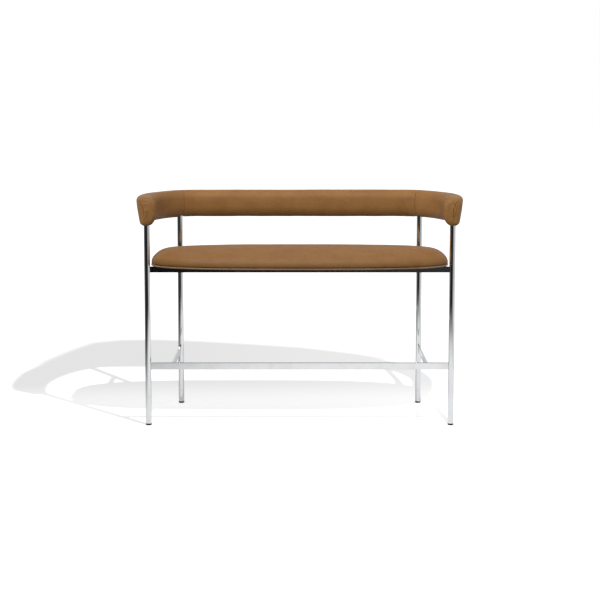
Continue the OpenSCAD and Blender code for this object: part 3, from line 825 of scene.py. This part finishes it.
# %% Welt rings
WELT_SIDES = 16
rings = []
for k, angle in enumerate(pad_angles):
    along = PAD_GIRTH * k / PAD_POINTS
    before, after = (oval(pad_angles[(k + d) % PAD_POINTS], WELT_INSET) for d in (-1, 1))
    dx, dy = after[0] - before[0], after[1] - before[1]
    out = Vector((dy, -dx, 0)).normalized()
    x, y = oval(angle, WELT_INSET)
    tuck = exp(-(((k - PAD_POINTS / 4) / 1.2) ** 2))
    radius = WELT_RADIUS * (1 + 0.05 * wave(along / 0.012, 9.4) - 0.22 * tuck)
    ring = []
    for i in range(WELT_SIDES):
        a = 2 * pi * i / WELT_SIDES
        ring.append(Vector((x, y, WELT_Z)) + radius * (cos(a) * out + sin(a) * Vector((0, 0, 1))))
    rings.append(ring)
print("welt:", round(PAD_GIRTH, 2), "m of cord", 2000 * WELT_RADIUS, "mm across")

# %% Welt
verts = [tuple(p) for ring in rings for p in ring]
faces = ring_faces(PAD_POINTS, WELT_SIDES, closed=True)
seat_welt_cord = add_piece("seat_welt_cord", verts, faces, welt_leather)
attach(seat_welt_cord, "root")
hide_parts("seat_welt")

# %% [markdown]
# ## The dust cloth
# A thin black cloth is stapled under the board to keep dust out. A simulation would do little for a
# cloth that is stretched flat, so it is a sheet under a millimetre thick with the board's outline, and
# it dips a little between the bars.

# %% Dust cloth piece
BOARD_INSET, CLOTH = 0.0063, 0.0008


def cloth_ring(inset, height, dip):
    ring = []
    for angle in pad_angles[::4]:
        x, y = oval(angle, BOARD_INSET + inset)
        z = BAR_TOP + height - dip * (0.0004 + 0.0003 * wave(x / 0.06, y / 0.06, 2.2))
        ring.append((x, y, z))
    return ring


insets = (0.195, 0.15, 0.1, 0.05, 0.02, 0.004, 0)
rings = [cloth_ring(i, 0.0001, 0.0 if i < 0.01 else 0.2) for i in insets]
rings += [cloth_ring(i, 0.0001 + CLOTH, 0) for i in insets[::-1]]
under_cloth = loft("under_cloth", rings, ("strip", "strip"), dust_cloth_black)
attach(under_cloth, "root")
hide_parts("seat_underside_cloth")

# %% [markdown]
# ## The hoop's line and section
# The back and both arms are one leather roll that follows a line made of arcs: a wide arc over each
# front leg, a tight one over each rear leg, and a straight back. A section stands square to the line
# and is swept along it. Its outer side leans in towards the bottom, and its inner side, where people
# lean, is rounder. A free curve could be pulled into shape by eye, but arcs follow the bent tube inside.

# %% Hoop line
ARM_RADIUS, CORNER_RADIUS, JOIN = 0.380, 0.134, radians(45)
FRONT_X, REAR_X, ARM_BOW = 0.645, 0.543, 0.110
step = ARM_RADIUS - CORNER_RADIUS
ARM_C = Vector((FRONT_X - sqrt(ARM_RADIUS**2 - ARM_BOW**2), FRONT_ROW + ARM_BOW))
CORNER_C = ARM_C + step * Vector((cos(JOIN), sin(JOIN)))
FRONT_ANGLE = -asin(ARM_BOW / ARM_RADIUS)
REAR_ANGLE = acos((REAR_X - CORNER_C.x) / CORNER_RADIUS)
SEAM_ANGLE = FRONT_ANGLE - 0.015 / ARM_RADIUS
REAR_ROW = CORNER_C.y + CORNER_RADIUS * sin(REAR_ANGLE)
ARM_RUN = ARM_RADIUS * (JOIN - SEAM_ANGLE)
SEAM_RUN = ARM_RUN + CORNER_RADIUS * (REAR_ANGLE - JOIN)
CORNER_RUN = ARM_RUN + CORNER_RADIUS * (pi / 2 - JOIN)
HALF_RUN = CORNER_RUN + CORNER_C.x


def hoop_line(run):
    """The line's point and its outward direction, for a length along it from the right arm's seam."""
    side = 1
    if run > HALF_RUN:
        side, run = -1, 2 * HALF_RUN - run
    if run < CORNER_RUN:
        if run < ARM_RUN:
            centre, radius, angle = ARM_C, ARM_RADIUS, SEAM_ANGLE + run / ARM_RADIUS
        else:
            centre, radius, angle = CORNER_C, CORNER_RADIUS, JOIN + (run - ARM_RUN) / CORNER_RADIUS
        out = Vector((cos(angle), sin(angle)))
        point = centre + radius * out
    else:
        out = Vector((0, 1))
        point = Vector((CORNER_C.x - (run - CORNER_RUN), CORNER_C.y + CORNER_RADIUS))
    return Vector((side * point.x, point.y)), Vector((side * out.x, out.y))


print("hoop line", round(2 * HALF_RUN, 3), "m, rear leg row at", round(REAR_ROW, 4))

# %% Hoop section
HOOP_BOTTOM, HOOP_HEIGHT, HOOP_HALF = 0.857, 0.120, 0.0373
LEAN, SWELL = 0.013, 0.0014
FOOT_R, OUTER_R = 0.010, 0.018
INNER_R, BELLY_R = (0.028, 0.040), (0.034, 0.052)  # half axes, across and up


def section(inset):
    """Points of the section, drawn in by an inset: distance outwards and height."""
    w, h = HOOP_HALF, HOOP_HEIGHT
    rounds = (
        (w - LEAN - FOOT_R, FOOT_R, (FOOT_R, FOOT_R), -90, 7),
        (w - OUTER_R, h - OUTER_R, (OUTER_R, OUTER_R), 0, 9),
        (INNER_R[0] - w, h - INNER_R[1], INNER_R, 90, 13),
        (BELLY_R[0] - w, BELLY_R[1], BELLY_R, 180, 15),
    )
    arcs = []
    for cu, ch, (ru, rh), start, count in rounds:
        angles = [radians(start + 90 * i / count) for i in range(count + 1)]
        arcs.append([Vector((cu + (ru - inset) * cos(a), ch + (rh - inset) * sin(a))) for a in angles])
    points = []
    for k, (swell, count) in enumerate(((SWELL, 16), (SWELL / 2, 7), (0.0005, 9), (0, 7))):
        points += arcs[k]
        a, b = arcs[k][-1], arcs[(k + 1) % 4][0]
        side = (b - a).normalized()
        for i in range(1, count):
            q = i / count
            points.append(a.lerp(b, q) + 4 * q * (1 - q) * swell * Vector((side.y, -side.x)))
    return points


SECTION = section(0)
MIDDLE = Vector((0, HOOP_HEIGHT / 2))
print("section points", len(SECTION))

# %% [markdown]
# ## The hoop's panels
# Three panels of hide wrap the roll. They are sewn end to end over the rear legs, with the edges turned
# in, so each seam is a narrow valley between two rounded lips. Next to a seam the stitches pull the
# hide into short puckers. Round the tight corners the inner side has too much hide and gathers into
# upright ripples, and at each leg's top the hide is drawn up round the tube. All of that could be
# sculpted. Written as waves along the roll, it stays even from panel to panel and is easy to change.

# %% Panel rings
SEAM_DEPTH, SEAM_WIDTH = 0.0028, 0.0036
STATION = 0.0042
LEG_RADIUS, DRAWN_UP = 0.0125, 0.006
LEGS = [Vector((s * x, y)) for s in (-1, 1) for x, y in ((FRONT_X, FRONT_ROW), (REAR_X, REAR_ROW))]


def stations(start, end):
    """Lengths along the line from start to end, closer together near both seams."""
    close = [0.0, 0.0004, 0.0009, 0.0015, 0.0023, 0.0033, 0.0048, 0.007]
    middle = round((end - start - 2 * close[-1]) / STATION)
    inner = [close[-1] + (end - start - 2 * close[-1]) * i / middle for i in range(1, middle)]
    return [start + c for c in close] + [start + c for c in inner] + [end - c for c in close[::-1]]


def skin_ripple(run, point, spot, near_seam, bend):
    """How far the hide stands out at a spot of the section, in metres."""
    inner = ease((0.012 - spot.x) / 0.03)
    low = ease((0.085 - spot.y) / 0.07)
    slow = 0.0008 * wave(point.x / 0.11, point.y / 0.11, spot.y / 0.05)
    slow += 0.0003 * wave(run / 0.03, spot.x / 0.03, spot.y / 0.03)
    pucker = 0.0008 * exp(-near_seam / 0.012) * wave(run / 0.05, spot.x / 0.006 + 11.0, spot.y / 0.006)
    gather = 0.0009 * bend * inner * (0.35 + 0.65 * low) * wave(run / 0.0065, spot.y / 0.06, 5.5)
    return slow + pucker + gather


def hoop_panel(name, start, end, nodes):
    rings = []
    for run in stations(start, end):
        point, out = hoop_line(run)
        near = min(run - start, end - run)
        tuck = SEAM_DEPTH * (1 - sqrt(1 - max(0.0, 1 - near / SEAM_WIDTH) ** 2))
        inside = run if run < HALF_RUN else 2 * HALF_RUN - run
        bend = ease((inside - ARM_RUN + 0.05) / 0.05) * ease((CORNER_RUN + 0.03 - inside) / 0.04)
        ring = []
        for full, drawn in zip(SECTION, section(tuck)):
            stand = (full - MIDDLE).normalized() * skin_ripple(run, point, full, near, bend)
            spot = drawn + stand * min(1.0, near / 0.004)
            place = point + out * spot.x
            z = HOOP_BOTTOM + spot.y
            if spot.y < 0.02:
                beyond = max(0.0, min((place - leg).length for leg in LEGS) - LEG_RADIUS)
                z += DRAWN_UP * exp(-((beyond / DRAWN_UP) ** 2)) * ease((0.02 - spot.y) / 0.015)
            ring.append((place.x, place.y, z))
        rings.append(ring)
    ends = [(*hoop_line(run)[0], HOOP_BOTTOM + HOOP_HEIGHT / 2) for run in (start, end)]
    panel = loft(name, rings, ends, leather)
    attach(panel, "root")
    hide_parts(*nodes)


# %% The three panels
FULL_RUN = 2 * HALF_RUN
BACK_NODES = ("hoop_back_cover", "hoop_back_foam", "back_groove_strip")
RIGHT_NODES = ("hoop_right_cover", "hoop_right_foam", "right_groove_strip")
LEFT_NODES = ("hoop_left_cover", "hoop_left_foam", "left_groove_strip")
hoop_panel("back_roll", SEAM_RUN, FULL_RUN - SEAM_RUN, BACK_NODES)
hoop_panel("right_arm_roll", 0, SEAM_RUN, RIGHT_NODES)
hoop_panel("left_arm_roll", FULL_RUN - SEAM_RUN, FULL_RUN, LEFT_NODES)

# %% [markdown]
# ## The arm ends
# Each arm ends in a cap of hide over a pad of foam. There is too much hide for the small face, so it is
# folded like the end of a parcel. On the right a long fold runs down from the top corner to the leg, with
# a shallow one beside it. On the left a short deep fold cuts the outer corner, and fine creases run down
# and gather round the leg. Each fold is a line on the face: the hide sinks in a narrow valley along it
# and stands up in a soft lip on both sides. A simulation could find folds too, but not these ones, and
# a line can be moved until its fold lies where the real one does.

# %% Folds
# Each as (depth, width, points), each point outwards and up on the section, in millimetres
FOLDS = {
    1: [
        (3.4, 2.0, [(24, 104), (12, 86), (4, 63), (3, 42), (6, 20), (8, -4)]),
        (2.2, 1.8, [(27, 98), (18, 78), (14, 58), (11, 38), (8, 18)]),
        (1.3, 1.8, [(-16, 112), (-4, 102), (6, 90)]),
        (1.7, 1.9, [(-40, 40), (-28, 22), (-12, 4)]),
        (1.3, 1.7, [(-24, 62), (-18, 34), (-8, 8)]),
    ],
    -1: [
        (3.6, 2.2, [(40, 106), (30, 97), (20, 82), (12, 68)]),
        (2.4, 1.9, [(40, 88), (27, 84), (17, 76)]),
        (1.9, 1.9, [(24, 102), (8, 99), (-8, 102)]),
        (2.0, 1.8, [(12, 68), (11, 40), (7, 12), (5, -4)]),
        (1.9, 1.7, [(2, 62), (1, 36), (1, 10)]),
        (1.8, 1.7, [(-8, 60), (-8, 34), (-4, 8)]),
        (1.9, 1.8, [(-20, 44), (-14, 24), (-6, 6)]),
        (1.9, 1.8, [(-34, 36), (-22, 20), (-9, 2)]),
        (1.5, 1.7, [(24, 40), (17, 20), (9, 4)]),
    ],
}


def line_distance(spot, points):
    """The shortest distance from a spot to a line through points."""
    best = 1e9
    for a, b in zip(points, points[1:]):
        a, b = Vector(a), Vector(b)
        q = min(max((spot - a).dot(b - a) / (b - a).length_squared, 0), 1)
        best = min(best, (spot - a.lerp(b, q)).length)
    return best


def fold_sink(side, spot):
    """How far the folds sink the face at a spot of it, in metres, less where lips stand up."""
    sink = 0.0
    for depth, width, points in FOLDS[side]:
        d = line_distance(spot * 1000, points) / width
        if d < 2:
            sink = max(sink, depth * exp(-(d**2)))
        else:
            sink -= 0.22 * depth * exp(-(((d - 3) / 1.2) ** 2))
    return sink / 1000


# %% Arm end rings
ARM_REACH, END_SHRINK, END_CURVE = 0.034, 0.56, 2.6
SEAM_SHARE = 0.06  # how much of the way to the tip the seam's lip takes up
FACE_BULGE = 0.0016
END_STEPS, FACE_STEPS = 20, 15


def end_ring(side, share, drawn, face=1.0):
    """One ring of an arm end, at a share of the way to the tip; face shrinks it further on the tip."""
    seam, _ = hoop_line(0)
    reach = ARM_REACH + seam.y - FRONT_ROW
    shrink = 1 - END_SHRINK * (1 - sqrt(1 - share**END_CURVE))
    turn = SEAM_ANGLE * (1 - share)
    centre = Vector((seam.x + reach * share * sin(turn) / 2, seam.y - reach * share))
    bulge = FACE_BULGE * (1 - face**2)
    ring = []
    for full, tucked in zip(SECTION, section(drawn)):
        spot = MIDDLE + (tucked - MIDDLE) * shrink * face
        flat = MIDDLE + (full - MIDDLE) * shrink * face
        fade = ease(share / 0.35)
        sink = fold_sink(side, flat) * fade
        puff = 0.0006 * wave(flat.x / 0.012 + 20 * side, flat.y / 0.014, share * 2.0) * fade
        inward = (spot - MIDDLE).normalized() * (sink - puff) * (1 - share**6)
        spot = spot - inward
        ahead = (bulge + puff - sink) * share**6
        place = centre + spot.x * Vector((cos(turn), sin(turn)))
        ring.append((side * place.x, place.y - ahead, HOOP_BOTTOM + spot.y))
    return ring


# %% Arm ends
for side, word in ((1, "right"), (-1, "left")):
    rings = []
    for i in range(5):
        q = i / 5
        tuck = SEAM_DEPTH * (1 - sqrt(1 - (1 - q) ** 2))
        rings.append(end_ring(side, SEAM_SHARE * q, tuck))
    for i in range(1, END_STEPS + 1):
        rings.append(end_ring(side, SEAM_SHARE + (1 - SEAM_SHARE) * sin(pi / 2 * i / END_STEPS), 0))
    for i in range(1, FACE_STEPS):
        rings.append(end_ring(side, 1, 0, 1 - i / FACE_STEPS))
    seam = hoop_line(0)[0]
    tip = rings[-1]
    middle = [sum(p[c] for p in tip) / len(tip) for c in range(3)]
    seam_middle = (side * seam.x, seam.y, HOOP_BOTTOM + HOOP_HEIGHT / 2)
    cap = loft(word + "_arm_end", rings, (seam_middle, middle), leather)
    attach(cap, "root")
    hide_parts(word + "_end_cap", word + "_end_pad")

# %% [markdown]
# ## The hard parts
# The CAD nodes that stay visible keep their shape and get the materials made above. The footrest is
# rolled flat bar, whose soft edges mirror the dark ceiling as a thin line along its top. Its imported
# faces don't share their corners, so a weld comes before the bevel.

# %% Materials for the CAD nodes
FINISH = {
    "chrome": chrome,
    "glide_plastic": black_nylon,
    "fixings": zinc,
    "plywood": birch_ply,
    "core_steel": tube_steel,
}
ROLLED = 0.0016  # how far the footrest's edges are rounded
slots = {s["node"]: s["material_slot"] for s in frame["record"]["subparts"]}
dressed = 0
for name, obj in frame["nodes"].items():
    if slots[name] in FINISH:
        for slot in obj.material_slots:
            slot.material = FINISH[slots[name]]
        if name.startswith("footrest"):
            obj.modifiers.new("one skin", "WELD").merge_threshold = 0.00001
            edge = obj.modifiers.new("rolled edges", "BEVEL")
            edge.width, edge.segments, edge.angle_limit = ROLLED, 4, radians(50)
            edge.use_clamp_overlap = False
            keep_off(NOT_PAD, obj)
        dressed += 1
print("dressed CAD nodes:", dressed)
